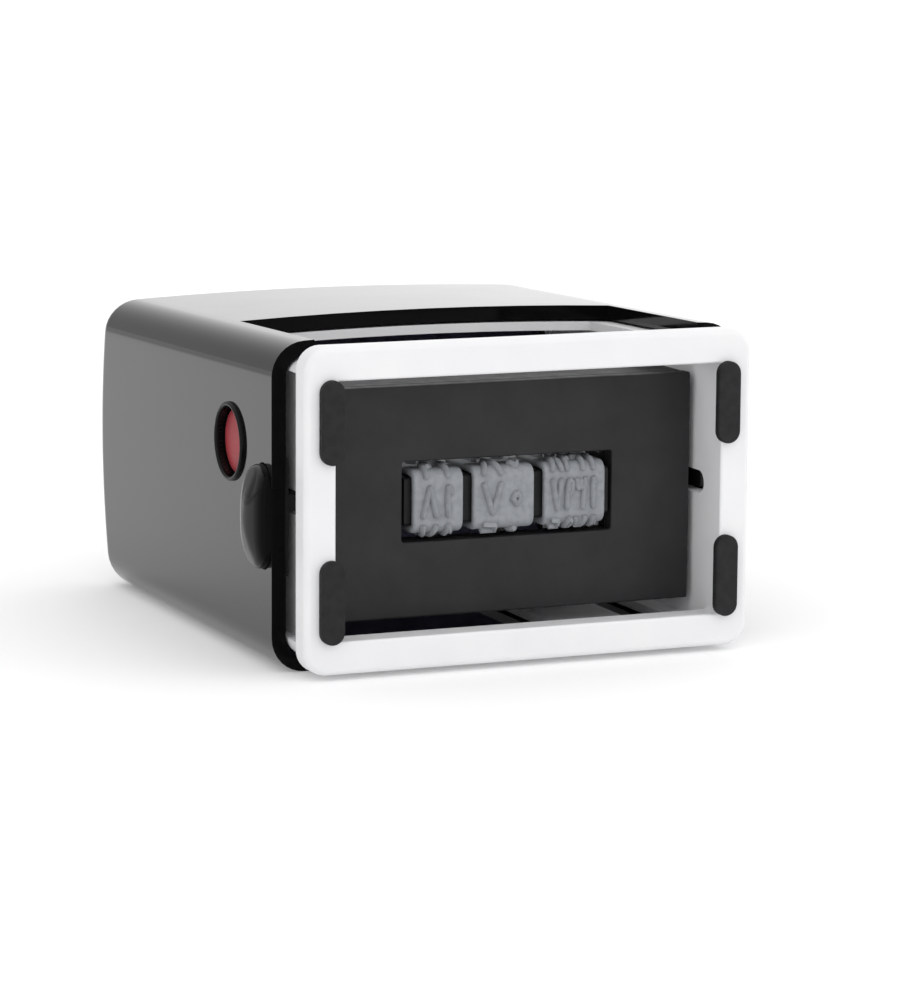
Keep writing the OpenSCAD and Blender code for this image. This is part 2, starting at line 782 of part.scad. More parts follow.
module setting_wheel(n) {
    hub_left = band_left(n);
    rim_left = hub_left + band_widths[n] + seat_gap;
    rim_right = rim_left + wheel_t;
    color(frame_white) lay() difference() {
        union() {
            rod(hub_left, rim_right, 2 * hub_r, plate_y, axle_z);
            across(rim_left, rim_right) translate([plate_y, axle_z]) polygon([
                for (i = [0 : 2 * wheel_teeth - 1], r = [wheel_r - (i % 2) * tooth_h])
                    r * [cos(180 * i / wheel_teeth), sin(180 * i / wheel_teeth)]
            ]);
        }
        rod(hub_left - 1, rim_right + 1, axle_d + 2 * pin_gap, plate_y, axle_z);
    }
}

base_frame();
foot(-1, -1);  // foot_front_left
foot(1, -1);  // foot_front_right
foot(-1, 1);  // foot_rear_left
foot(1, 1);  // foot_rear_right
ink_tray();
ink_pad();
return_spring(-1);  // return_spring_left
return_spring(1);  // return_spring_right
cap_shell();
press_bow();
die_carrier();
text_plate();
band_former();
trunnion(-1);  // trunnion_left
trunnion(1);  // trunnion_right
cam_pin(-1);  // cam_pin_left
cam_pin(1);  // cam_pin_right
wheel_axle();
axle_clip(-1);  // axle_clip_left
axle_clip(1);  // axle_clip_right
date_band(0);  // date_band_day
date_band(1);  // date_band_month
date_band(2);  // date_band_year
setting_wheel(0);  // day_wheel
setting_wheel(1);  // month_wheel
setting_wheel(2);  // year_wheel
lock_button(-1);  // lock_button_left
lock_button(1);  // lock_button_right
red_button(-1);  // red_button_left
red_button(1);  // red_button_right
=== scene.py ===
# %% [markdown]
# # A self-inking date stamp, dressed in Blender
# The stamp lies on its back with its cap pressed and locked, so we look into its open foot: a white
# flange with rubber feet, a charcoal text plate, and three rubber date bands in the plate's window.
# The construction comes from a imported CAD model. This lesson gives each piece its final shape and
# finish.

# %% Load the construction
import math

import bmesh
import bpy
from mathutils import Matrix, Vector


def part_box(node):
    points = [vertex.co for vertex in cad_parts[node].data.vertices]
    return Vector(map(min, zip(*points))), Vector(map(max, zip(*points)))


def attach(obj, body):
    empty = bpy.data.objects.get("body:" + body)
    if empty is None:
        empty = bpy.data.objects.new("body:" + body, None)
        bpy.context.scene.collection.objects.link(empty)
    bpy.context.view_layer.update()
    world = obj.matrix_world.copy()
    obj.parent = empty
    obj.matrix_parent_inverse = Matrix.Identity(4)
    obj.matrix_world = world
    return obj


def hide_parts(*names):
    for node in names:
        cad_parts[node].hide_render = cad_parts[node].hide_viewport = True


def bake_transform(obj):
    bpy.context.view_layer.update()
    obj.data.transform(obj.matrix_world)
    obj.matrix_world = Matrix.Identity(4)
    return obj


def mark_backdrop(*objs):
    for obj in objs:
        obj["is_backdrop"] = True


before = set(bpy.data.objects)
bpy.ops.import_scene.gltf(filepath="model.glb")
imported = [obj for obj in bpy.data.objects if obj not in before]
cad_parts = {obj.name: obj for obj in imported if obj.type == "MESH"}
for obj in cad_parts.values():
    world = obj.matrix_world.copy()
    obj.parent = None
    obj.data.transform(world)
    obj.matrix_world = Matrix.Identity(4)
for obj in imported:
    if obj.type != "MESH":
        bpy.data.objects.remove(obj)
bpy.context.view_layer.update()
mm = 0.001

# %% [markdown]
# ## The camera
# Its place and lens were worked out from the straight edges of the flange, which is a rectangle of
# known size. A long lens keeps the edges nearly parallel, as in a product photograph. Blender gives
# the longer side of the picture, here its height, the whole sensor width.

# %% Place the camera
CAMERA_PLACE = Vector((-207.4, -501.05, 104.3)) * mm
CAMERA_YAW = math.radians(22.98)
CAMERA_PITCH = math.radians(9.30)
CAMERA_ROLL = math.radians(-0.38)
FOCAL_PIXELS = 4080
LONG_SIDE_PIXELS = 1000
SENSOR_MM = 36
NEAREST_SEEN = 10 * mm


def camera_turn(yaw, pitch, roll):
    """The camera's rotation, from where it looks and how far it leans."""
    flat = math.cos(pitch)
    forward = Vector((math.sin(yaw) * flat, math.cos(yaw) * flat, -math.sin(pitch)))
    level = Vector((math.cos(yaw), -math.sin(yaw), 0))
    down = forward.cross(level)
    right = math.cos(roll) * level + math.sin(roll) * down
    return Matrix((right, right.cross(forward), -forward)).transposed()


lens = bpy.data.cameras.new("camera")
lens.sensor_width = SENSOR_MM
lens.lens = FOCAL_PIXELS * SENSOR_MM / LONG_SIDE_PIXELS
lens.clip_start = NEAREST_SEEN
lens.dof.use_dof = False
camera = bpy.data.objects.new("camera", lens)
turn = camera_turn(CAMERA_YAW, CAMERA_PITCH, CAMERA_ROLL)
camera.matrix_world = Matrix.Translation(CAMERA_PLACE) @ turn.to_4x4()
bpy.context.scene.collection.objects.link(camera)
bpy.context.scene.camera = camera
print("lens", round(lens.lens, 1), "mm")

# %% [markdown]
# ## Helpers for finishes
# Every finish starts from the Principled shader. Noise in object coordinates gives it the small
# differences that a moulded or rubber surface has: colour, gloss and relief each vary a little.
# Values that are the same all over stay on the shader's own sockets.

# %% Nodes that a finish is built from
NOISE_RANGE = (0.3, 0.7)    # noise seldom leaves these values


def new_finish(name, colour, roughness):
    """A material with a plain Principled shader. Returns it, its node tree and the shader."""
    material = bpy.data.materials.new(name)
    material.use_nodes = True
    tree = material.node_tree
    shader = tree.nodes["Principled BSDF"]
    shader.inputs["Base Color"].default_value = (*colour, 1)
    shader.inputs["Roughness"].default_value = roughness
    return material, tree, shader


def noise(tree, size, detail=3, stretch=(1, 1, 1)):
    """Noise whose blotches are about size metres across."""
    place = tree.nodes.new("ShaderNodeTexCoord")
    mapping = tree.nodes.new("ShaderNodeMapping")
    mapping.inputs["Scale"].default_value = stretch
    texture = tree.nodes.new("ShaderNodeTexNoise")
    texture.inputs["Scale"].default_value = 1 / size
    texture.inputs["Detail"].default_value = detail
    tree.links.new(place.outputs["Object"], mapping.inputs["Vector"])
    tree.links.new(mapping.outputs["Vector"], texture.inputs["Vector"])
    return texture.outputs["Fac"]


def carry_over(tree, value, source, target, soft=False):
    """A value that runs over the target range while another runs over the source range."""
    node = tree.nodes.new("ShaderNodeMapRange")
    if soft:
        node.interpolation_type = "SMOOTHSTEP"
    for name, limit in zip(("From Min", "From Max", "To Min", "To Max"), (*source, *target)):
        node.inputs[name].default_value = limit
    tree.links.new(value, node.inputs["Value"])
    return node.outputs["Result"]


print("noise between", *NOISE_RANGE, "drives colour and gloss")

# %% [markdown]
# What the noise drives is joined to the shader by three small functions, and a fourth puts them
# together. Its blotch, patch and grain are each a size and a detail of noise, for the colour, the
# gloss and the relief.

# %% Put a finish together
SOCKETS = {"shine": "Specular IOR Level", "metal": "Metallic", "ior": "IOR"}
END_FACING = (-0.95, -0.6)    # Y of the normal on an end face, and where it is a side again


def vary_colour(tree, shader, factor, dark, light):
    """The colour runs from dark to light with the factor."""
    ramp = tree.nodes.new("ShaderNodeValToRGB")
    for element, position, colour in zip(ramp.color_ramp.elements, NOISE_RANGE, (dark, light)):
        element.position = position
        element.color = (*colour, 1)
    tree.links.new(factor, ramp.inputs["Fac"])
    tree.links.new(ramp.outputs["Color"], shader.inputs["Base Color"])


def vary_gloss(tree, shader, factor, low, high):
    """The roughness runs from low to high with the factor."""
    roughness = carry_over(tree, factor, NOISE_RANGE, (low, high))
    tree.links.new(roughness, shader.inputs["Roughness"])


def add_relief(tree, shader, factor, depth, strength):
    """Bumps about depth metres high."""
    bump = tree.nodes.new("ShaderNodeBump")
    bump.inputs["Distance"].default_value = depth
    bump.inputs["Strength"].default_value = strength
    tree.links.new(factor, bump.inputs["Height"])
    tree.links.new(bump.outputs["Normal"], shader.inputs["Normal"])


def noisy_finish(name, colour, roughness, blotch, tones, patch, gloss, grain, relief,
                 stretch=(1, 1, 1), **levels):
    """A finish with noise in its colour, gloss and relief. levels are plain sockets."""
    material, tree, shader = new_finish(name, colour, roughness)
    for socket, level in levels.items():
        shader.inputs[SOCKETS[socket]].default_value = level
    vary_colour(tree, shader, noise(tree, *blotch, stretch), *tones)
    vary_gloss(tree, shader, noise(tree, *patch, stretch), *gloss)
    add_relief(tree, shader, noise(tree, *grain, stretch), *relief)
    return material


def matt_ends(material, low, high):
    """Less shine on the end faces of a moulding, which look along -Y."""
    tree = material.node_tree
    facing = tree.nodes.new("ShaderNodeNewGeometry")
    split = tree.nodes.new("ShaderNodeSeparateXYZ")
    tree.links.new(facing.outputs["Normal"], split.inputs["Vector"])
    shine = carry_over(tree, split.outputs["Y"], END_FACING, (low, high))
    tree.links.new(shine, tree.nodes["Principled BSDF"].inputs["Specular IOR Level"])


print("plain sockets:", ", ".join(SOCKETS.values()))

# %% [markdown]
# ## Blacks
# The cap is polished black plastic: dark, glossy, with faint handling marks in its gloss. Only the
# outside of the mould is polished, so the rim's end faces shine less. The collars round the red
# buttons are the same black but duller, and the mouldings inside are satin. One black for all would
# look flat, so each has its own gloss.

# %% Mix the blacks
FINISHES = {}
DEEP_BLACK = (0.003, 0.003, 0.0032)
DEEP_TONES = ((0.002, 0.002, 0.0022), (0.004, 0.004, 0.0043))

FINISHES["cap_black"] = noisy_finish(
    "polished_black", DEEP_BLACK, 0.06, blotch=(20 * mm, 3), tones=DEEP_TONES,
    patch=(9 * mm, 6), gloss=(0.05, 0.10), grain=(2.5 * mm, 2), relief=(0.02 * mm, 0.05), ior=1.46)
matt_ends(FINISHES["cap_black"], 0.05, 0.5)
COLLAR_FINISH = noisy_finish(
    "ring_black", DEEP_BLACK, 0.3, blotch=(3 * mm, 3), tones=DEEP_TONES,
    patch=(1.5 * mm, 4), gloss=(0.24, 0.36), grain=(0.5 * mm, 2), relief=(0.01 * mm, 0.1),
    shine=0.15)
FINISHES["carrier_black"] = noisy_finish(
    "inner_black", (0.008, 0.008, 0.0085), 0.42,
    blotch=(5 * mm, 4), tones=((0.006, 0.006, 0.0065), (0.011, 0.011, 0.0115)),
    patch=(2 * mm, 4), gloss=(0.36, 0.5), grain=(0.2 * mm, 2), relief=(0.015 * mm, 0.3), shine=0.2)
print("blacks:", ", ".join(FINISHES), "and the collars'")

# %% [markdown]
# ## White, charcoal and rubber
# The frame is white moulded plastic with a satin skin. The plate and the feet are close in colour,
# but the plate is finely spark-eroded and the rubber feet are softer and rougher. The bands are
# cool grey rubber, a little powdery. The grain of each is a bump, because it is far finer than any
# mesh here.

# %% Mix the foot's finishes
FINISHES["frame_white"] = noisy_finish(
    "satin_white", (0.75, 0.75, 0.76), 0.36,
    blotch=(7 * mm, 4), tones=((0.735, 0.735, 0.75), (0.765, 0.765, 0.77)),
    patch=(3 * mm, 5), gloss=(0.30, 0.44), grain=(0.25 * mm, 2), relief=(0.01 * mm, 0.25))
FINISHES["foot_rubber"] = noisy_finish(
    "foot_rubber", (0.012, 0.012, 0.013), 0.7,
    blotch=(1.2 * mm, 5), tones=((0.009, 0.009, 0.010), (0.016, 0.016, 0.017)),
    patch=(0.6 * mm, 3), gloss=(0.58, 0.8), grain=(0.16 * mm, 3), relief=(0.03 * mm, 0.5),
    shine=0.25)
FINISHES["plate_charcoal"] = noisy_finish(
    "eroded_charcoal", (0.014, 0.014, 0.015), 0.55,
    blotch=(6 * mm, 5), tones=((0.011, 0.011, 0.012), (0.017, 0.017, 0.018)),
    patch=(1.5 * mm, 4), gloss=(0.46, 0.62), grain=(0.12 * mm, 2), relief=(0.02 * mm, 0.35),
    shine=0.3)
FINISHES["band_rubber"] = noisy_finish(
    "band_rubber", (0.24, 0.25, 0.265), 0.6,
    blotch=(0.9 * mm, 5), tones=((0.205, 0.216, 0.23), (0.27, 0.281, 0.30)),
    patch=(0.8 * mm, 3), gloss=(0.5, 0.68), grain=(0.2 * mm, 3), relief=(0.02 * mm, 0.4))
print(len(FINISHES), "finishes so far")

# %% [markdown]
# ## Red, ivory, steel and felt
# The release buttons are clear red plastic and the setting wheels off-white. Springs and pins are
# drawn steel: its noise is stretched, so that the marks run along the wire. The ink pad is dark
# felt, soaked unevenly, with the deepest relief of all.

# %% Mix the small pieces' finishes
FINISHES["button_red"] = noisy_finish(
    "button_red", (0.30, 0.033, 0.042), 0.45,
    blotch=(3 * mm, 4), tones=((0.27, 0.03, 0.038), (0.33, 0.037, 0.046)),
    patch=(1.5 * mm, 4), gloss=(0.4, 0.5), grain=(0.3 * mm, 2), relief=(0.01 * mm, 0.2), shine=0.25)
FINISHES["wheel_plastic"] = noisy_finish(
    "wheel_ivory", (0.62, 0.61, 0.58), 0.45,
    blotch=(2 * mm, 5), tones=((0.55, 0.54, 0.51), (0.67, 0.66, 0.63)),
    patch=(1 * mm, 3), gloss=(0.38, 0.55), grain=(0.2 * mm, 2), relief=(0.01 * mm, 0.25))
STREAK = (0.5 * mm, 4)
FINISHES["steel"] = noisy_finish(
    "drawn_steel", (0.56, 0.57, 0.58), 0.28,
    blotch=STREAK, tones=((0.48, 0.49, 0.50), (0.63, 0.64, 0.65)), patch=STREAK, gloss=(0.2, 0.38),
    grain=STREAK, relief=(0.006 * mm, 0.3), stretch=(0.15, 1, 1), metal=1)
FINISHES["pad_felt"] = noisy_finish(
    "inked_felt", (0.02, 0.02, 0.05), 0.8,
    blotch=(2.5 * mm, 6), tones=((0.012, 0.012, 0.03), (0.035, 0.035, 0.075)),
    patch=(1.2 * mm, 5), gloss=(0.55, 0.9), grain=(0.25 * mm, 4), relief=(0.15 * mm, 0.8))
print("finishes:", ", ".join(FINISHES))

# %% [markdown]
# ## Helpers for shapes
# A moulded piece has no knife edges. Each piece here is drawn with its true faces and then gets
# small round edges with a real bevel in the mesh, so that light catches them.
# Weighted normals keep the flat faces flat between the round edges.

# %% Work on a mesh
WELD = 1e-7                  # points nearer than this are one point
FLAT = math.radians(0.4)     # faces that bend less than this are one face
SHARP = math.radians(35)     # edges that bend more than this get a bevel
CREASE = math.radians(50)    # edges that bend more than this stay sharp in the shading


def opened(mesh):
    """The mesh as a shape to work on."""
    shape = bmesh.new()
    shape.from_mesh(mesh)
    return shape


def write_back(shape, mesh):
    """Puts the shape into the mesh."""
    shape.to_mesh(mesh)
    shape.free()


def round_edges(mesh, width, segments=3, join=True):
    """Bevels the sharp edges of a mesh. join first makes one face of triangles that lie flat."""
    shape = opened(mesh)
    bmesh.ops.remove_doubles(shape, verts=shape.verts, dist=WELD)
    if join:
        bmesh.ops.dissolve_limit(shape, angle_limit=FLAT, verts=shape.verts, edges=shape.edges)
    sharp = [e for e in shape.edges if e.is_manifold and e.calc_face_angle(0) > SHARP]
    bmesh.ops.bevel(shape, geom=sharp, offset=width, segments=segments, profile=0.5,
                    affect="EDGES", clamp_overlap=True, miter_outer="ARC")
    write_back(shape, mesh)


def settle(piece):
    """Applies every modifier, so the piece is a plain mesh."""
    bpy.context.view_layer.update()
    graph = bpy.context.evaluated_depsgraph_get()
    mesh = bpy.data.meshes.new_from_object(piece.evaluated_get(graph))
    piece.modifiers.clear()
    piece.data = mesh


def smooth(piece):
    """Smooth shading, with flat faces kept flat and any edge over the limit kept sharp."""
    mesh = piece.data
    mesh.polygons.foreach_set("use_smooth", [True] * len(mesh.polygons))
    shape = opened(mesh)
    for edge in shape.edges:
        edge.smooth = not edge.is_manifold or edge.calc_face_angle(0) < CREASE
    write_back(shape, mesh)
    even = piece.modifiers.new("even_light", "WEIGHTED_NORMAL")
    even.keep_sharp = True
    settle(piece)


print("bevels edges over", round(math.degrees(SHARP)), "degrees")

# %% [markdown]
# A new piece is made from points and faces, and may have shapes cut out of it. Then it is dressed:
# it gets its finish, the body that it moves with, and the CAD nodes that it stands for.

# %% Make, cut and dress a piece


def new_piece(name, points, faces):
    """A mesh object from points in metres."""
    mesh = bpy.data.meshes.new(name)
    mesh.from_pydata([tuple(p) for p in points], [], faces)
    mesh.validate()
    piece = bpy.data.objects.new(name, mesh)
    bpy.context.scene.collection.objects.link(piece)
    shape = opened(mesh)
    bmesh.ops.recalc_face_normals(shape, faces=shape.faces)
    write_back(shape, mesh)
    return piece


def cut(piece, cutter):
    """Takes the cutter's shape out of the piece, and removes the cutter."""
    hole = piece.modifiers.new("hole", "BOOLEAN")
    hole.operation = "DIFFERENCE"
    hole.solver = "EXACT"
    hole.object = cutter
    settle(piece)
    bpy.data.objects.remove(cutter)


def dress(piece, slot, body, *nodes, finish=None):
    """Finish, body and the CAD nodes that a piece stands for."""
    piece.data.materials.clear()
    piece.data.materials.append(finish or FINISHES[slot])
    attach(piece, body)
    if nodes:
        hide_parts(*nodes)
    print(f"{piece.name}: {len(piece.data.vertices)} points, rides {body}")


# %% [markdown]
# Most outlines on this stamp are circles, capsules, or rectangles with round corners. One function
# draws each as a loop of points, always in the same order, so that loops of different size can be
# joined face by face.

# %% Outlines
CORNER_STEPS = 8
ROUND_STEPS = 6


def arc(centre_a, centre_b, radius, start, end, steps):
    """Points of an arc, both ends included. Angles are in degrees."""
    angles = [math.radians(start + (end - start) * i / steps) for i in range(steps + 1)]
    return [(centre_a + radius * math.cos(t), centre_b + radius * math.sin(t)) for t in angles]


def circle(radius, sides):
    """Points of a circle about the origin."""
    return arc(0, 0, radius, 0, 360 - 360 / sides, sides - 1)


def quarter_round(steps):
    """A quarter circle of radius 1 for soft edges: pairs that run from 0 to 1 and from 1 to 0."""
    angles = [math.pi / 2 * k / steps for k in range(steps + 1)]
    return [(1 - math.cos(t), 1 - math.sin(t)) for t in angles]


def rounded_loop(half_a, half_b, radius):
    """A rectangle with round corners about the origin."""
    loop = []
    for sign_a, sign_b, start in ((1, 1, 0), (-1, 1, 90), (-1, -1, 180), (1, -1, 270)):
        centre_a = sign_a * (half_a - radius)
        centre_b = sign_b * (half_b - radius)
        loop += arc(centre_a, centre_b, radius, start, start + 90, CORNER_STEPS)
    return loop


def capsule_loop(length, width, steps=12, side_steps=1):
    """A capsule about the origin, long in a. Its straight sides have side_steps steps."""
    radius = width / 2
    reach = length / 2 - radius
    between = [reach * (1 - 2 * i / side_steps) for i in range(1, side_steps)]
    right = arc(reach, 0, radius, -90, 90, steps) + [(a, radius) for a in between]
    left = arc(-reach, 0, radius, 90, 270, steps) + [(-a, -radius) for a in between]
    return right + left


print("a capsule has", len(capsule_loop(2, 1)), "points")

# %% [markdown]
# Loops become a piece by lofting: neighbours are joined by a ring of faces. The ends are closed by
# faces, or the last loop is joined to the first, which makes a ring.

# %% Lofts


def ring_faces(first, second, count):
    """Faces between two loops of count points that start at these indices."""
    pairs = [(i, (i + 1) % count) for i in range(count)]
    return [(first + i, first + j, second + j, second + i) for i, j in pairs]


def loft(name, loops, close=False):
    """A skin over loops of equal count. It is closed by end faces, or into a ring."""
    count = len(loops[0])
    points = [p for loop in loops for p in loop]
    faces = []
    for k in range(len(loops) - 1):
        faces += ring_faces(k * count, (k + 1) * count, count)
    last = (len(loops) - 1) * count
    if close:
        faces += ring_faces(last, 0, count)
    else:
        faces += [tuple(range(count)), tuple(range(last + count - 1, last - 1, -1))]
    return new_piece(name, points, faces)


def prism_across(name, outline, reach):
    """An outline of (y, z) points, drawn out along X to both sides."""
    return loft(name, [[(x, y, z) for y, z in outline] for x in (-reach, reach)])


# %% [markdown]
# ## The cap
# The cap is one polished moulding. Its sides and back stand upright, its front is slightly bowed
# and leans in towards the top, the top is crowned, and a soft edge runs round it. It could be a
# cube with bevels, but then the soft edge couldn't follow the crown. So it is lofted: each loop of
# the outline is drawn in by a quarter circle while it rises to the crown. The inside is the same
# loft, one wall smaller.

# %% Measure the cap
cap_low, cap_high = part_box("cap_shell")
LIP_HEIGHT = 0.5 * mm    # of the collars round the red buttons, which stand out furthest
CAP_HALF_X = cap_high.x - LIP_HEIGHT
CAP_HALF_Z = 21.3 * mm
CAP_MID_Z = cap_low.z + CAP_HALF_Z
CAP_RIM = cap_low.y
CAP_CROWN = cap_high.y
CAP_WALL = 1.9 * mm
CAP_CORNER = 4.5 * mm
CROWN_RISE = 3.4 * mm
TOP_EDGE = 3.5 * mm
FRONT_LEAN = 1.9 * mm
FRONT_BOW = 0.95 * mm
CUTOUT_HEIGHT = 27 * mm
CUTOUT_HALF = 26.5 * mm
crown_radius = (CAP_HALF_Z ** 2 + CROWN_RISE ** 2) / (2 * CROWN_RISE)
bow_radius = (CAP_HALF_X ** 2 + FRONT_BOW ** 2) / (2 * FRONT_BOW)
print("cap", round(2 * CAP_HALF_X / mm, 1), "wide,", round((CAP_CROWN - CAP_RIM) / mm, 1), "high")

# %% Draw the cap's outline
FRONT_STEPS = 8
SIDE_STEPS = 20


def front_outline(inset):
    """Front of the cap from right to left: a round edge, the bow over the cutout, a round edge."""
    corner = CAP_CORNER - inset
    across = CAP_HALF_X - CAP_CORNER
    radius = bow_radius - inset
    middle = CAP_HALF_Z - bow_radius
    tilt = math.degrees(math.asin(across / (radius - corner)))
    height = middle + math.sqrt((radius - corner) ** 2 - across ** 2)
    right = arc(across, height, corner, 0, 90 - tilt, CORNER_STEPS)
    left = arc(-across, height, corner, 90 + tilt, 180, CORNER_STEPS)
    stations = [CUTOUT_HALF * (1 - 2 * i / FRONT_STEPS) for i in range(FRONT_STEPS + 1)]
    bow = [(x, middle + math.sqrt(radius ** 2 - x ** 2)) for x in stations]
    return right + bow + left


def back_outline(inset):
    """Back of the cap from left to right: two round corners."""
    corner = CAP_CORNER - inset
    across, height = CAP_HALF_X - CAP_CORNER, CAP_HALF_Z - CAP_CORNER
    return (arc(-across, -height, corner, 180, 270, CORNER_STEPS)
            + arc(across, -height, corner, 270, 360, CORNER_STEPS))


def side_points(start, end):
    """Points between two others, both left out."""
    shares = [i / SIDE_STEPS for i in range(1, SIDE_STEPS)]
    return [tuple(a + (b - a) * share for a, b in zip(start, end)) for share in shares]


print("front of", len(front_outline(0)), "points, back of", len(back_outline(0)))

# %% [markdown]
# A point of the front leans in by its height, and its height on the crown depends on how far it has
# come in, so the two are worked out in turns until they settle.

# %% Loops of the cap's skin
LEAN_TURNS = 3
EDGE_STEPS = 10


def crown_at(rise, inset):
    """Height of the crowned top where it is rise away from the middle."""
    radius = crown_radius - inset
    return CAP_CROWN - crown_radius + math.sqrt(radius ** 2 - rise ** 2)


def leaning(x, z, height):
    """A point of the front, moved in by the lean at its height."""
    y = height(z)
    for _ in range(LEAN_TURNS):
        y = height(z - FRONT_LEAN * (y - CAP_RIM) / (CAP_CROWN - CAP_RIM))
    return x, y, z - FRONT_LEAN * (y - CAP_RIM) / (CAP_CROWN - CAP_RIM)


def cap_loop(inset, height):
    """One loop of the cap's skin. height gives a point's Y from how far in front it lies."""
    front = [leaning(x, z, height) for x, z in front_outline(inset)]
    back = [(x, height(z), z) for x, z in back_outline(inset)]
    left = [(x, height(z), z) for x, y, z in side_points(front[-1], back[0])]
    right = [(x, height(z), z) for x, y, z in side_points(back[-1], front[0])]
    return [(x, y, CAP_MID_Z + z) for x, y, z in front + left + back + right]


def cap_loops(inset):
    """Loops of the cap's skin, from the rim over the soft edge."""
    edge = TOP_EDGE - inset
    loops = [cap_loop(inset, lambda z: CAP_RIM + rise) for rise in (0, CUTOUT_HEIGHT)]
    for draw, drop in quarter_round(EDGE_STEPS):
        loops.append(cap_loop(inset + edge * draw, lambda z: crown_at(z, inset) - edge * drop))
    return loops


print(len(cap_loops(0)), "loops of", len(cap_loops(0)[0]), "points")

# %% Join the cap's skins


def crown_faces(start, loop):
    """Strips that close the crowned top, from the right half of its last loop to the left half."""
    order = sorted(range(len(loop)), key=lambda i: -loop[i][2])
    middle = [i for i in order if abs(loop[i][0]) < WELD]
    right = [i for i in order if loop[i][0] > WELD]
    left = [i for i in order if loop[i][0] < -WELD]
    faces = [(right[k], right[k + 1], left[k + 1], left[k]) for k in range(len(right) - 1)]
    faces += [(m, right[0], left[0]) for m in middle]
    return [tuple(start + i for i in face) for face in faces]


def cap_body():
    """Outer and inner skin, joined at the rim and round the cutout in the front."""
    outer, inner = cap_loops(0), cap_loops(CAP_WALL)
    count = len(outer[0])
    points = [p for loop in outer + inner for p in loop]
    inside = len(outer) * count
    first = CORNER_STEPS + 1
    last = first + FRONT_STEPS
    faces = []
    for skin, loops in ((0, outer), (inside, inner)):
        for k in range(len(loops) - 1):
            ring = ring_faces(skin + k * count, skin + (k + 1) * count, count)
            faces += ring[:first] + ring[last:] if k == 0 else ring
        faces += crown_faces(skin + (len(loops) - 1) * count, loops[-1])
    rim = ring_faces(0, inside, count)
    faces += rim[:first] + rim[last:]
    faces += ring_faces(count, inside + count, count)[first:last]
    for side in (first, last):
        faces.append((side, count + side, inside + count + side, inside + side))
    return new_piece("cap", points, faces)


cap = cap_body()
print("cap skin:", len(cap.data.polygons), "faces")

# %% [markdown]
# The round holes for the red buttons and the notches for the lock buttons go through both side
# walls, so one cutter across the stamp makes both. The bevel comes after the cuts, so that their
# edges are soft too.

# %% Cut the holes and soften the edges
LOCK_GAP = 0.15 * mm
LOCK_LENGTH = 13.3 * mm
LOCK_WIDTH = 5.5 * mm
RED_HOLE = 4.5 * mm
HOLE_SIDES = 48
CAP_SOFT = 0.45 * mm
lock_low, lock_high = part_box("lock_button_right")
red_low, red_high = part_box("red_button_right")
lock_middle = (lock_low + lock_high) / 2
red_middle = (red_low + red_high) / 2
reach = 2 * CAP_HALF_X

hole = [(red_middle.y + a, red_middle.z + b) for a, b in circle(RED_HOLE, HOLE_SIDES)]
cut(cap, prism_across("red_hole", hole, reach))
notch = [(lock_middle.y + b, lock_middle.z + a)
         for a, b in capsule_loop(LOCK_LENGTH + 2 * LOCK_GAP, LOCK_WIDTH + 2 * LOCK_GAP)]
cut(cap, prism_across("lock_notch", notch, reach))
slot_half = (LOCK_LENGTH - LOCK_WIDTH) / 2
outside_rim = CAP_RIM - 1 * mm
mouth = [(y, lock_middle.z + s) for y, s in (
    (outside_rim, -slot_half), (lock_middle.y, -slot_half),
    (lock_middle.y, slot_half), (outside_rim, slot_half))]
cut(cap, prism_across("lock_mouth", mouth, reach))
round_edges(cap.data, CAP_SOFT, segments=4, join=False)
smooth(cap)
dress(cap, "cap_black", "cap", "cap_shell")

# %% [markdown]
# A low collar with a round lip stands round each red button's hole. It is a small ring, lofted from
# circles that go up its inner side, over the lip and down its outer side.

# %% Turn the collars
SIDES = {"left": -1, "right": 1}
LIP_WIDTH = 0.6 * mm
LIP_ROOT = 0.6 * mm
LIP_STEPS = 8
TURNED_SIDES = 60


def turned(side, profile, centre):
    """Loops of a round piece in the cap's side wall, from (x, radius) pairs."""
    return [[(side * x, centre.y + a, centre.z + b) for a, b in circle(radius, TURNED_SIDES)]
            for x, radius in profile]


def collar(side, name):
    """A ring with a round lip on the cap's side wall."""
    half = LIP_WIDTH / 2
    lip = [(CAP_HALF_X + (LIP_HEIGHT - half + b), RED_HOLE + half + a)
           for a, b in arc(0, 0, half, 180, 0, LIP_STEPS)]
    root = CAP_HALF_X - LIP_ROOT
    profile = [(root, RED_HOLE)] + lip + [(root, RED_HOLE + LIP_WIDTH)]
    ring = loft("red_collar_" + name, turned(side, profile, red_middle), close=True)
    smooth(ring)
    dress(ring, "cap_black", "cap", finish=COLLAR_FINISH)


for name, side in SIDES.items():
    collar(side, name)

# %% [markdown]
# ## The white foot flange
# The flange is a flat ring that stands on the paper. It is lofted round: the loops start at the
# inner edge, go over its soft front corners to the outer edge and come back behind, and the last
# joins the first.

# %% Loft the flange
base_low, base_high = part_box("base_frame")
FLANGE_THICK = 3.5 * mm
SIDE_BAR = 4.1 * mm
FRONT_BAR = 4.25 * mm
FLANGE_CORNER = 3 * mm
INNER_CORNER = 0.6 * mm
OUTER_SOFT = 0.8 * mm
INNER_SOFT = 0.35 * mm
WALL_STEP = 0.03 * mm    # the flange's inner side stands this far in front of the walls behind it
FLANGE_HALF_X = base_high.x
FLANGE_HALF_Z = (base_high.z - base_low.z) / 2
FLANGE_MID_Z = (base_high.z + base_low.z) / 2
flange_front = base_low.y
flange_back = flange_front + FLANGE_THICK


def flange_loop(half_x, half_z, corner, grow, y):
    """One loop of the flange at a depth, grown outward from its plain size."""
    loop = rounded_loop(half_x + grow, half_z + grow, corner + grow)
    return [(x, y, FLANGE_MID_Z + z) for x, z in loop]


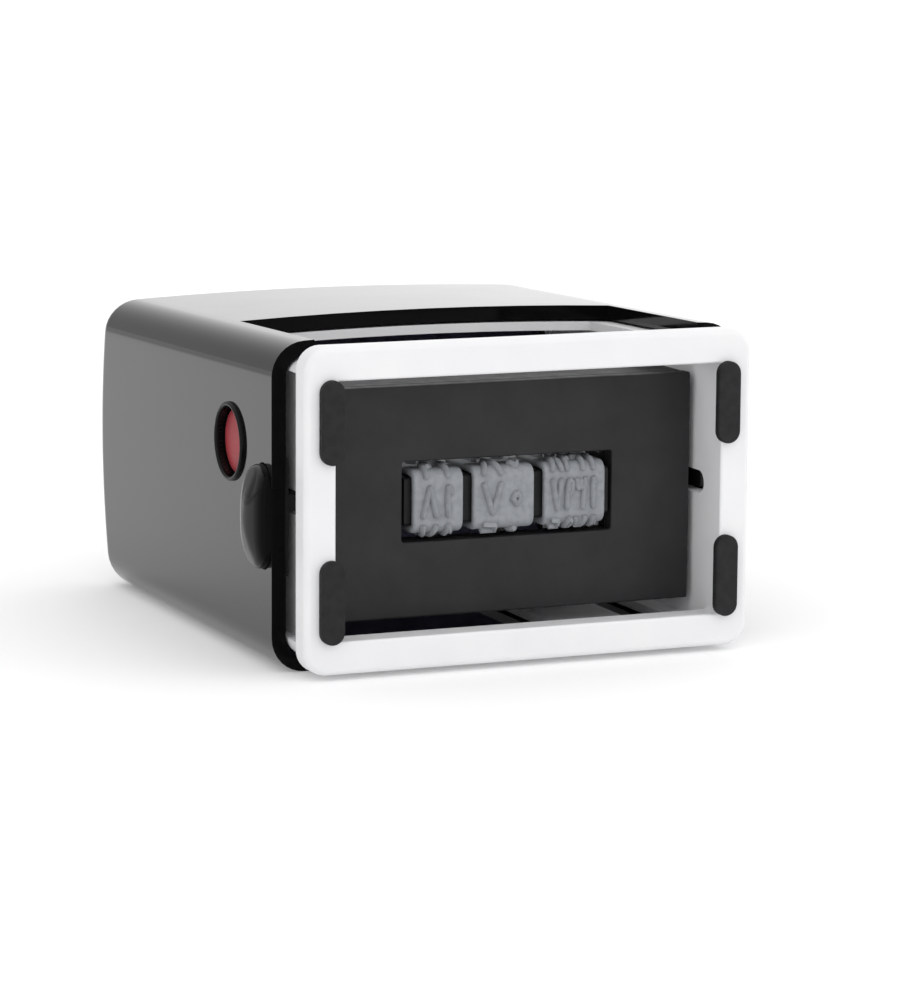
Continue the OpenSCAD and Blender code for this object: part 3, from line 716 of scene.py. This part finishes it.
def flange_ring():
    """Inner edge, front face, outer edge and back face of the ring."""
    inner = (FLANGE_HALF_X - SIDE_BAR - WALL_STEP, FLANGE_HALF_Z - FRONT_BAR, INNER_CORNER)
    outer = (FLANGE_HALF_X, FLANGE_HALF_Z, FLANGE_CORNER)
    soft = quarter_round(ROUND_STEPS)
    loops = [flange_loop(*inner, 0, flange_back)]
    loops += [flange_loop(*inner, INNER_SOFT * a, flange_front + INNER_SOFT * b) for a, b in soft]
    loops += [flange_loop(*outer, -OUTER_SOFT * b, flange_front + OUTER_SOFT * a) for a, b in soft]
    loops += [flange_loop(*outer, -INNER_SOFT * a, flange_back - INNER_SOFT * b) for a, b in soft]
    return loft("foot_flange", loops, close=True)


flange = flange_ring()
smooth(flange)
dress(flange, "frame_white", "frame")

# %% [markdown]
# Behind the flange stand the frame's walls and posts, with the guide slots, cam grooves and spring
# wells. Their shape is already right in the CAD model, so a copy is cut off behind the flange and
# gets soft edges.

# %% Cage behind the flange
CAGE_CLEAR = 0.05 * mm
CAGE_ROOT = 0.8 * mm
CAGE_SOFT = 0.18 * mm


def copy_of(node, name):
    """A new piece with the mesh of a CAD node."""
    piece = bpy.data.objects.new(name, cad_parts[node].data.copy())
    bpy.context.scene.collection.objects.link(piece)
    return piece


def keep_beyond(piece, y, root):
    """Keeps what lies beyond y. The cut walls grow by root, so that they stand in the flange."""
    shape = opened(piece.data)
    bmesh.ops.remove_doubles(shape, verts=shape.verts, dist=WELD)
    found = bmesh.ops.bisect_plane(
        shape, geom=shape.verts[:] + shape.edges[:] + shape.faces[:],
        plane_co=(0, y, 0), plane_no=(0, 1, 0), clear_inner=True)
    edges = [e for e in found["geom_cut"] if isinstance(e, bmesh.types.BMEdge)]
    for point in {v for e in edges for v in e.verts}:
        point.co.y -= root
    bmesh.ops.holes_fill(shape, edges=edges)
    write_back(shape, piece.data)


cage = copy_of("base_frame", "frame_cage")
keep_beyond(cage, flange_back + CAGE_CLEAR, CAGE_ROOT)
round_edges(cage.data, CAGE_SOFT, segments=2)
smooth(cage)
dress(cage, "frame_white", "frame", "base_frame")

# %% [markdown]
# ## Rubber feet
# Four capsules of dark rubber are glued to the flange so that the stamp doesn't slip. Each is
# lofted from capsule loops that draw in over its soft outer edge.

# %% Make the feet
FOOT_SOFT = 0.28 * mm


def rubber_foot(node):
    """One foot in the place of its CAD solid."""
    low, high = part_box(node)
    middle = (low + high) / 2
    length, width = high.z - low.z, high.x - low.x
    levels = [(0, high.y)]
    levels += [(FOOT_SOFT * a, low.y + FOOT_SOFT * b) for a, b in quarter_round(ROUND_STEPS)]
    loops = []
    for draw, y in levels:
        loop = capsule_loop(length - 2 * draw, width - 2 * draw)
        loops.append([(middle.x + b, y, middle.z + a) for a, b in loop])
    foot = loft(node + "_rubber", loops)
    smooth(foot)
    dress(foot, "foot_rubber", "frame", node)


for corner in ("front_left", "front_right", "rear_left", "rear_right"):
    rubber_foot("foot_" + corner)

# %% [markdown]
# ## Pieces that keep their CAD shape
# The plate, the carrier, the bow, the tray and the wheels are plain mouldings. A copy of each CAD
# mesh gets soft edges and its finish. Pins, axle and clips are already right, and only get their
# finish.

# %% Soften the moulded pieces
SOFT_EDGES = {
    "text_plate": ("die", "plate_charcoal", 0.25 * mm),
    "die_carrier": ("die", "carrier_black", 0.2 * mm),
    "band_former": ("die", "carrier_black", 0.15 * mm),
    "press_bow": ("cap", "carrier_black", 0.2 * mm),
    "ink_tray": ("frame", "carrier_black", 0.2 * mm),
    "day_wheel": ("day_wheel", "wheel_plastic", 0.1 * mm),
    "month_wheel": ("month_wheel", "wheel_plastic", 0.1 * mm),
    "year_wheel": ("year_wheel", "wheel_plastic", 0.1 * mm),
}
for node, (body, slot, width) in SOFT_EDGES.items():
    moulding = copy_of(node, node + "_moulded")
    round_edges(moulding.data, width, segments=2)
    smooth(moulding)
    dress(moulding, slot, body, node)

# %% Finish the turned pieces
TURNED_PIECES = {
    "carrier_black": ("trunnion_left", "trunnion_right"),
    "steel": ("cam_pin_left", "cam_pin_right", "wheel_axle", "axle_clip_left", "axle_clip_right"),
}
for slot, nodes in TURNED_PIECES.items():
    for node in nodes:
        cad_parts[node].data.materials.clear()
        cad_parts[node].data.materials.append(FINISHES[slot])
    print(slot, "on", ", ".join(nodes))

# %% [markdown]
# ## Ink pad
# The pad is a block of soaked felt in its tray. It is soft, so its edges are rounder than a
# moulding's, and its face swells a little towards the middle.

# %% Make the ink pad
PAD_CORNER = 1.2 * mm
PAD_SOFT = 0.8 * mm
PAD_CROWN = 0.35 * mm
PAD_MIDDLE = 0.3 * mm    # half the depth of the small flat place in the middle
PAD_STEPS = 8


def felt_pad(node):
    """A crowned pad in the place of its CAD solid."""
    low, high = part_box(node)
    middle = (low + high) / 2
    half_x, half_z = (high.x - low.x) / 2, (high.z - low.z) / 2
    edge = low.y + PAD_CROWN
    levels = [(0, high.y)]
    levels += [(PAD_SOFT * a, edge + PAD_SOFT * b) for a, b in quarter_round(ROUND_STEPS)]
    for k in range(1, PAD_STEPS + 1):
        inward = k / PAD_STEPS * (half_z - PAD_MIDDLE - PAD_SOFT)
        levels.append((PAD_SOFT + inward, low.y + PAD_CROWN * (1 - k / PAD_STEPS) ** 2))
    loops = []
    for draw, y in levels:
        outline = rounded_loop(half_x - draw, half_z - draw, min(PAD_CORNER, half_z - draw))
        loops.append([(middle.x + a, y, middle.z + b) for a, b in outline])
    pad = loft(node + "_felt", loops)
    smooth(pad)
    dress(pad, "pad_felt", "frame", node)


felt_pad("ink_pad")

# %% [markdown]
# ## Date bands
# Each band is a closed rubber belt with raised numerals, mirrored so that they print the right way
# round. The belt's side view is drawn once: flat over the nose with round corners, straight along
# the sides, and round over its wheel.

# %% Draw the belts
BELT_THICK = 1.0 * mm
BELT_RADIUS = 4.1 * mm
BELT_STEPS = 24
BELT_SOFT = 0.4 * mm
NOSE_CORNER = 1.5 * mm
NOSE_STEPS = 6
CHARACTER_RAISE = 0.6 * mm
wheel_low, wheel_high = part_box("day_wheel")
axle_y = (wheel_low.y + wheel_high.y) / 2
axle_z = (wheel_low.z + wheel_high.z) / 2
nose_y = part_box("date_band_day")[0].y + CHARACTER_RAISE


def belt_outline(inset):
    """Side view of a belt as (y, z) points: round over the wheel, then flat over the nose."""
    radius = BELT_RADIUS - inset
    corner = NOSE_CORNER - inset
    nose = nose_y + inset
    outline = arc(axle_y, axle_z, radius, 90, -90, BELT_STEPS)
    outline += arc(nose + corner, axle_z - radius + corner, corner, 270, 180, NOSE_STEPS)
    outline += arc(nose + corner, axle_z + radius - corner, corner, 180, 90, NOSE_STEPS)
    return outline


def belt(name, left, right):
    """A belt between two X places: outer and inner skin and two edges."""
    outer, inner = belt_outline(0), belt_outline(BELT_THICK)
    corners = ((left, outer), (right, outer), (right, inner), (left, inner))
    loops = [[(x, y, z) for y, z in outline] for x, outline in corners]
    piece = loft(name, loops, close=True)
    round_edges(piece.data, BELT_SOFT, segments=4)
    return piece


print("belt from nose to axle:", round((axle_y - nose_y) / mm, 1), "mm")

# %% [markdown]
# A numeral next to the nose bends over its corner, so flat lettering would stand off the belt. Each
# numeral is drawn as strokes instead, in the eastern form that such bands carry. Its lines are
# given in a box one wide and one high.

# %% Lines of the numerals
DIGITS = {
    "0": [(0.5, 0.65), (0.3, 0.45), (0.5, 0.25), (0.7, 0.45), (0.5, 0.65)],
    "1": [(0.3, 0.8), (0.5, 1.0), (0.54, 0.5), (0.5, 0.0)],
    "2": [(0.95, 0.95), (0.85, 0.68), (0.5, 0.66), (0.2, 1.0), (0.34, 0.5), (0.42, 0.0)],
    "3": [(1.0, 0.98), (0.9, 0.7), (0.7, 0.7), (0.6, 0.95), (0.5, 0.7), (0.32, 0.72), (0.1, 1.0),
          (0.26, 0.5), (0.34, 0.0)],
    "5": [(0.5, 1.0), (0.12, 0.45), (0.2, 0.05), (0.5, 0.25), (0.8, 0.05), (0.88, 0.45),
          (0.5, 1.0)],
    "6": [(0.9, 0.95), (0.35, 0.92), (0.25, 0.62), (0.85, 0.6), (0.25, 0.0)],
    "7": [(0.05, 1.0), (0.5, 0.0), (0.95, 1.0)],
    "8": [(0.05, 0.0), (0.5, 1.0), (0.95, 0.0)],
    "9": [(0.66, 0.7), (0.5, 0.98), (0.2, 0.9), (0.2, 0.58), (0.45, 0.5), (0.66, 0.7), (0.7, 0.35),
          (0.74, 0.0)],
}
BAND_NUMERALS = {
    "date_band_day": ("18", "19", "17", "20", "16"),
    "date_band_month": ("07", "08", "06", "09", "05"),
    "date_band_year": ("1397", "1398", "1396", "1399", "1395"),
}
print("digits drawn:", " ".join(DIGITS))

# %% [markdown]
# A stroke is a ridge with a round top and round ends, and every point of it is carried to the belt
# by how far along the belt it lies. Where a line bends sharply, a new stroke starts, because one
# ridge would fold into itself there.

# %% Lay a stroke on the belt
STROKE_STEP = 0.35 * mm
STROKE_WIDTH = 0.85 * mm
STROKE_PROFILE = ((-0.5, -0.2), (-0.45, 0.35), (-0.3, 0.75), (0, 1),
                  (0.3, 0.75), (0.45, 0.35), (0.5, -0.2))    # across it and up, as shares
STROKE_ENDS = ((0.3, 0.45), (0.2, 0.8))    # distance beyond the end, and width there
SHARP_BEND = math.radians(75)


def on_belt(x, along, height):
    """A point above the belt, along it from the middle of the nose."""
    flat = BELT_RADIUS - NOSE_CORNER
    bend = NOSE_CORNER * math.pi / 2
    way, upward = abs(along), math.copysign(1, along)
    if way <= flat:
        y, z = nose_y - height, way
    elif way <= flat + bend:
        t = (way - flat) / NOSE_CORNER
        y = nose_y + NOSE_CORNER - (NOSE_CORNER + height) * math.cos(t)
        z = flat + (NOSE_CORNER + height) * math.sin(t)
    else:
        y, z = nose_y + NOSE_CORNER + way - flat - bend, BELT_RADIUS + height
    return x, y, axle_z + upward * z


def gentle_parts(points):
    """Cuts a line at its sharp bends."""
    parts, line = [], [points[0]]
    for before, point, after in zip(points, points[1:], points[2:]):
        line.append(point)
        if (point - before).angle(after - point) > SHARP_BEND:
            parts.append(line)
            line = [point]
    return parts + [line + [points[-1]]]


def resample(points):
    """The same line with points no further apart than STROKE_STEP."""
    line = [points[0]]
    for a, b in zip(points, points[1:]):
        parts = math.ceil((b - a).length / STROKE_STEP)
        line += [a.lerp(b, i / parts) for i in range(1, parts + 1)]
    return line


def stroke(line):
    """A raised stroke with round ends along a line of (x, along) points, wrapped over the belt."""
    last = len(line) - 1
    ways = [(line[min(i + 1, last)] - line[max(i - 1, 0)]).normalized() for i in range(last + 1)]
    stations = [(line[0] - out * STROKE_WIDTH * ways[0], ways[0], wide)
                for out, wide in STROKE_ENDS]
    stations += [(point, way, 1) for point, way in zip(line, ways)]
    stations += [(line[last] + out * STROKE_WIDTH * ways[last], ways[last], wide)
                 for out, wide in reversed(STROKE_ENDS)]
    loops = []
    for place, way, wide in stations:
        side = Vector((-way.y, way.x)) * STROKE_WIDTH * wide
        loops.append([on_belt(*(place + a * side), h * CHARACTER_RAISE) for a, h in STROKE_PROFILE])
    return loft("stroke", loops)


print("strokes", round(STROKE_WIDTH / mm, 2), "mm wide and", round(CHARACTER_RAISE / mm, 2), "high")

# %% Put the bands together
NUMERAL_HEIGHT = 3.7 * mm
NUMERAL_PITCH = 5.0 * mm
NUMERAL_MARGIN = 0.9 * mm
DIGIT_GAP = 0.1                      # on each side of a digit, as a share of its cell
NUMERAL_TURNS = (0, 1, -1, 2, -2)    # the first numeral is on the nose, the rest beside it


def numeral(digits, middle, width, along):
    """Strokes of a mirrored numeral that fills a width, centred at a place along the belt."""
    cell = width / len(digits)
    for i, digit in enumerate(digits):
        start = middle + width / 2 - (i * cell + DIGIT_GAP * cell)
        wide = (1 - 2 * DIGIT_GAP) * cell
        points = [Vector((start - wide * a, along + NUMERAL_HEIGHT * (b - 0.5)))
                  for a, b in DIGITS[digit]]
        for part in gentle_parts(points):
            yield stroke(resample(part))


def date_band(node, numerals):
    """A belt with its numerals, joined into one piece."""
    low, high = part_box(node)
    piece = belt(node + "_rubber", low.x, high.x)
    width = high.x - low.x - 2 * NUMERAL_MARGIN
    shape = opened(piece.data)
    for digits, turn in zip(numerals, NUMERAL_TURNS):
        for ridge in numeral(digits, (low.x + high.x) / 2, width, turn * NUMERAL_PITCH):
            shape.from_mesh(ridge.data)
            bpy.data.objects.remove(ridge)
    write_back(shape, piece.data)
    smooth(piece)
    dress(piece, "band_rubber", "die", node)


for node, numerals in BAND_NUMERALS.items():
    date_band(node, numerals)

# %% [markdown]
# ## Lock buttons
# The lock button is a domed capsule that stands out of the cap's notch. Behind the cap's wall it
# has a plate, and a tongue that goes into the frame's guide slot. The dome is lofted from capsules
# that draw in, with points along their straight sides, so that it can bow along its length too.

# %% Draw the lock buttons
LOCK_DOME = 3.2 * mm
LOCK_SOFT = 0.6 * mm
DOME_STEPS = 10
DOME_MIDDLE = 0.02 * mm
TONGUE_HALF = (1.2 * mm, 1.5 * mm)
TONGUE_CORNER = 0.4 * mm
PLATE_THICK = 0.55 * mm
PLATE_SHORT = 0.3 * mm    # the plate ends this far before the button's outline
PLATE_ROOT = 0.05 * mm
cap_inside = CAP_HALF_X - CAP_WALL


def side_reach(node, side):
    """How far from the middle a node on one side begins and ends."""
    low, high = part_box(node)
    return (low.x, high.x) if side > 0 else (-high.x, -low.x)


def dome_drop(a, b, inset):
    """How far the dome's skin lies below its highest point, at an inset from its outline."""
    along = LOCK_LENGTH - math.sqrt(LOCK_LENGTH ** 2 - a ** 2)
    across = LOCK_DOME - math.sqrt(LOCK_DOME ** 2 - b ** 2)
    edge = LOCK_SOFT - math.sqrt(LOCK_SOFT ** 2 - max(LOCK_SOFT - inset, 0) ** 2)
    return math.hypot(along, across) + edge


def dome_outline(inset):
    """The button's outline, drawn in by the inset."""
    return capsule_loop(LOCK_LENGTH - 2 * inset, LOCK_WIDTH - 2 * inset, side_steps=DOME_STEPS)


def lock_button(side, name):
    """Capsule whose face is domed along and across."""
    node = "lock_button_" + name
    outside = side_reach(node, side)[1]
    flat = LOCK_WIDTH / 2 - DOME_MIDDLE - LOCK_SOFT
    insets = [LOCK_SOFT * draw for draw, drop in quarter_round(ROUND_STEPS)[:-1]]
    insets += [LOCK_SOFT + flat * k / DOME_STEPS for k in range(DOME_STEPS + 1)]
    loops = [[(cap_inside, a, b) for a, b in dome_outline(0)]]
    for inset in insets:
        loops.append([(outside - dome_drop(a, b, inset), a, b) for a, b in dome_outline(inset)])
    button = loft(node + "_dome", [[(side * x, lock_middle.y + b, lock_middle.z + a)
                                    for x, a, b in loop] for loop in loops])
    smooth(button)
    dress(button, "cap_black", "lock_" + name, node)


def lock_tongue(side, name):
    """The plate behind the cap's wall and the tongue on it, as one stepped piece."""
    node = "lock_button_" + name
    low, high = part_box(node)
    plate_half = ((high.z - low.z) / 2, (high.y - low.y) / 2 - PLATE_SHORT)
    plate_back = cap_inside - PLATE_THICK
    tip = side_reach(node, side)[0]
    steps = [(x, TONGUE_HALF, CAP_MID_Z) for x in (tip, plate_back)]
    steps += [(x, plate_half, lock_middle.z) for x in (plate_back, cap_inside + PLATE_ROOT)]
    loops = [[(side * x, lock_middle.y + b, z + a) for a, b in rounded_loop(*half, TONGUE_CORNER)]
             for x, half, z in steps]
    tongue = loft(node + "_tongue", loops)
    smooth(tongue)
    dress(tongue, "carrier_black", "lock_" + name)


print("lock buttons", round(LOCK_LENGTH / mm, 1), "by", round(LOCK_WIDTH / mm, 1), "mm")

# %% [markdown]
# ## Red buttons
# The red button is a turned disc in the round hole, a little raised in the middle. It is lofted
# from circles, like the collar round it: up its side, over a soft edge, and in to the middle.

# %% Turn the red buttons and make both sides
# Depth below the face, with the distance in from the side or the share of the radius
RED_EDGE = ((0.5 * mm, 0), (0.3 * mm, 0.08 * mm), (0.2 * mm, 0.3 * mm))
RED_FACE = ((0.12 * mm, 0.7), (0.05 * mm, 0.45), (0.01 * mm, 0.2), (0, 0.02))


def red_button(side, name):
    """A turned disc with a slightly raised middle."""
    node = "red_button_" + name
    low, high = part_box(node)
    back, face = side_reach(node, side)
    radius = (high.z - low.z) / 2
    profile = [(back, radius)] + [(face - drop, radius - inset) for drop, inset in RED_EDGE]
    profile += [(face - drop, radius * share) for drop, share in RED_FACE]
    button = loft(node + "_disc", turned(side, profile, red_middle))
    smooth(button)
    dress(button, "button_red", "red_" + name, node)


for name, side in SIDES.items():
    lock_button(side, name)
    lock_tongue(side, name)
    red_button(side, name)

# %% [markdown]
# ## Return springs
# Two long springs lift the cap. Each is a round wire swept along a helix. Its lower end stands on a
# seat of the frame and its upper end is held by the bow, which moves with the cap.

# %% Wind the springs
SPRING_CURLS = 16
RINGS_PER_CURL = 20
WIRE_SIDES = 8
WIRE_RADIUS = 0.2 * mm


def return_spring(node):
    """A wire along a helix about Y, in the place of its CAD solid."""
    low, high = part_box(node)
    middle = (low + high) / 2
    radius = (high.z - low.z) / 2 - WIRE_RADIUS
    rings = SPRING_CURLS * RINGS_PER_CURL
    rise = high.y - low.y - 2 * WIRE_RADIUS
    wire = circle(WIRE_RADIUS, WIRE_SIDES)
    loops = []
    for i in range(rings + 1):
        t = 2 * math.pi * i / RINGS_PER_CURL
        outward = Vector((math.cos(t), 0, -math.sin(t)))
        height = low.y + WIRE_RADIUS + rise * i / rings
        centre = Vector((middle.x, height, middle.z)) + radius * outward
        loops.append([centre + a * outward + Vector((0, b, 0)) for a, b in wire])
    spring = loft(node + "_wire", loops)
    smooth(spring)
    spring.data.materials.append(FINISHES["steel"])
    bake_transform(spring)
    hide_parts(node)
    print(f"{spring.name}: {SPRING_CURLS} curls")


for name in SIDES:
    return_spring("return_spring_" + name)

# %% [markdown]
# ## Floor and light
# The stamp lies on a plain white table in a white room. The glossy cap shows whatever stands round
# it, so the room is plain and pale, which whitens the cap's front where we see it at a low angle.
# One darker corner at the left behind draws the soft dark band along the cap's round upper edge:
# there the room's light is dimmer, and the table's colour is painted darker there as painted shade.
# The table glows a little, like a light table, so that its shadows stay pale.

# %% Set the table
FLOOR_HALF = 6.0
TABLE_WHITE = (0.8, 0.8, 0.805)
# painted shade: the table's colour in its shaded corner, darker than its white
TABLE_PAINTED_SHADE = (0.42, 0.42, 0.423)
TABLE_ROUGHNESS = 0.85
TABLE_GLOSS = (0.8, 0.9)
TABLE_PATCH = 90 * mm
TABLE_GLOW = 0.18
# the painted shade darkens the table's colour along this way, softly between these distances
TABLE_PAINTED_SHADE_WAY = (-0.958, 0.287, 0)
TABLE_PAINTED_SHADE_REACH = (100 * mm, 450 * mm)    # where the shade begins and where it is full, along its way


def fade_along(tree, coordinates, way, reach, values):
    """A value that changes softly between two places along a way."""
    place = tree.nodes.new("ShaderNodeTexCoord")
    along = tree.nodes.new("ShaderNodeVectorMath")
    along.operation = "DOT_PRODUCT"
    along.inputs[1].default_value = way
    tree.links.new(place.outputs[coordinates], along.inputs[0])
    return carry_over(tree, along.outputs["Value"], reach, values, soft=True)


def table():
    """A wide white floor under the stamp, with painted shade in one corner."""
    corners = [(-1, -1), (1, -1), (1, 1), (-1, 1)]
    points = [(a * FLOOR_HALF, b * FLOOR_HALF, 0) for a, b in corners]
    piece = new_piece("table", points, [(0, 1, 2, 3)])
    material, tree, shader = new_finish("table_paper", TABLE_WHITE, TABLE_ROUGHNESS)
    # painted shade: the colour runs from white to the darker tone along one way
    lit = fade_along(tree, "Object", TABLE_PAINTED_SHADE_WAY, TABLE_PAINTED_SHADE_REACH, (1, 0))
    vary_colour(tree, shader, lit, TABLE_PAINTED_SHADE, TABLE_WHITE)
    vary_gloss(tree, shader, noise(tree, TABLE_PATCH), *TABLE_GLOSS)
    shader.inputs["Emission Color"].default_value = (1, 1, 1, 1)
    shader.inputs["Emission Strength"].default_value = TABLE_GLOW
    piece.data.materials.append(material)
    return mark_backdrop(piece)


table()
print("table", 2 * FLOOR_HALF, "m wide")

# %% Light the room
ROOM_LIGHT = (1.22, 0.56)    # in the room and in its darker corner
SHADE_WAY = (-0.6, 0.8, 0)
SHADE_REACH = (0.5, 0.95)    # cosines of the angles at which the darker corner begins and is full
FILL_PLACE = Vector((0.9, -0.8, 0.7))
FILL_SIZE = 0.6
FILL_POWER = 1


def right_fill():
    """A weak square lamp that points at the stamp from the right."""
    light = bpy.data.lights.new("right_fill", "AREA")
    light.shape = "RECTANGLE"
    light.size = light.size_y = FILL_SIZE
    light.energy = FILL_POWER
    holder = bpy.data.objects.new("right_fill", light)
    holder.location = FILL_PLACE
    aim = Vector((0, 0, CAP_MID_Z)) - FILL_PLACE
    holder.rotation_euler = aim.to_track_quat("-Z", "Y").to_euler()
    bpy.context.scene.collection.objects.link(holder)


def white_room():
    """Even room light with one darker corner."""
    world = bpy.data.worlds.new("white_room")
    world.use_nodes = True
    tree = world.node_tree
    background = tree.nodes["Background"]
    background.inputs["Color"].default_value = (1, 1, 1, 1)
    strength = fade_along(tree, "Generated", SHADE_WAY, SHADE_REACH, ROOM_LIGHT)
    tree.links.new(strength, background.inputs["Strength"])
    bpy.context.scene.world = world


right_fill()
white_room()
bpy.context.scene.view_settings.view_transform = "Standard"
print("room light", ROOM_LIGHT[0], "and", ROOM_LIGHT[1], "in its corner")
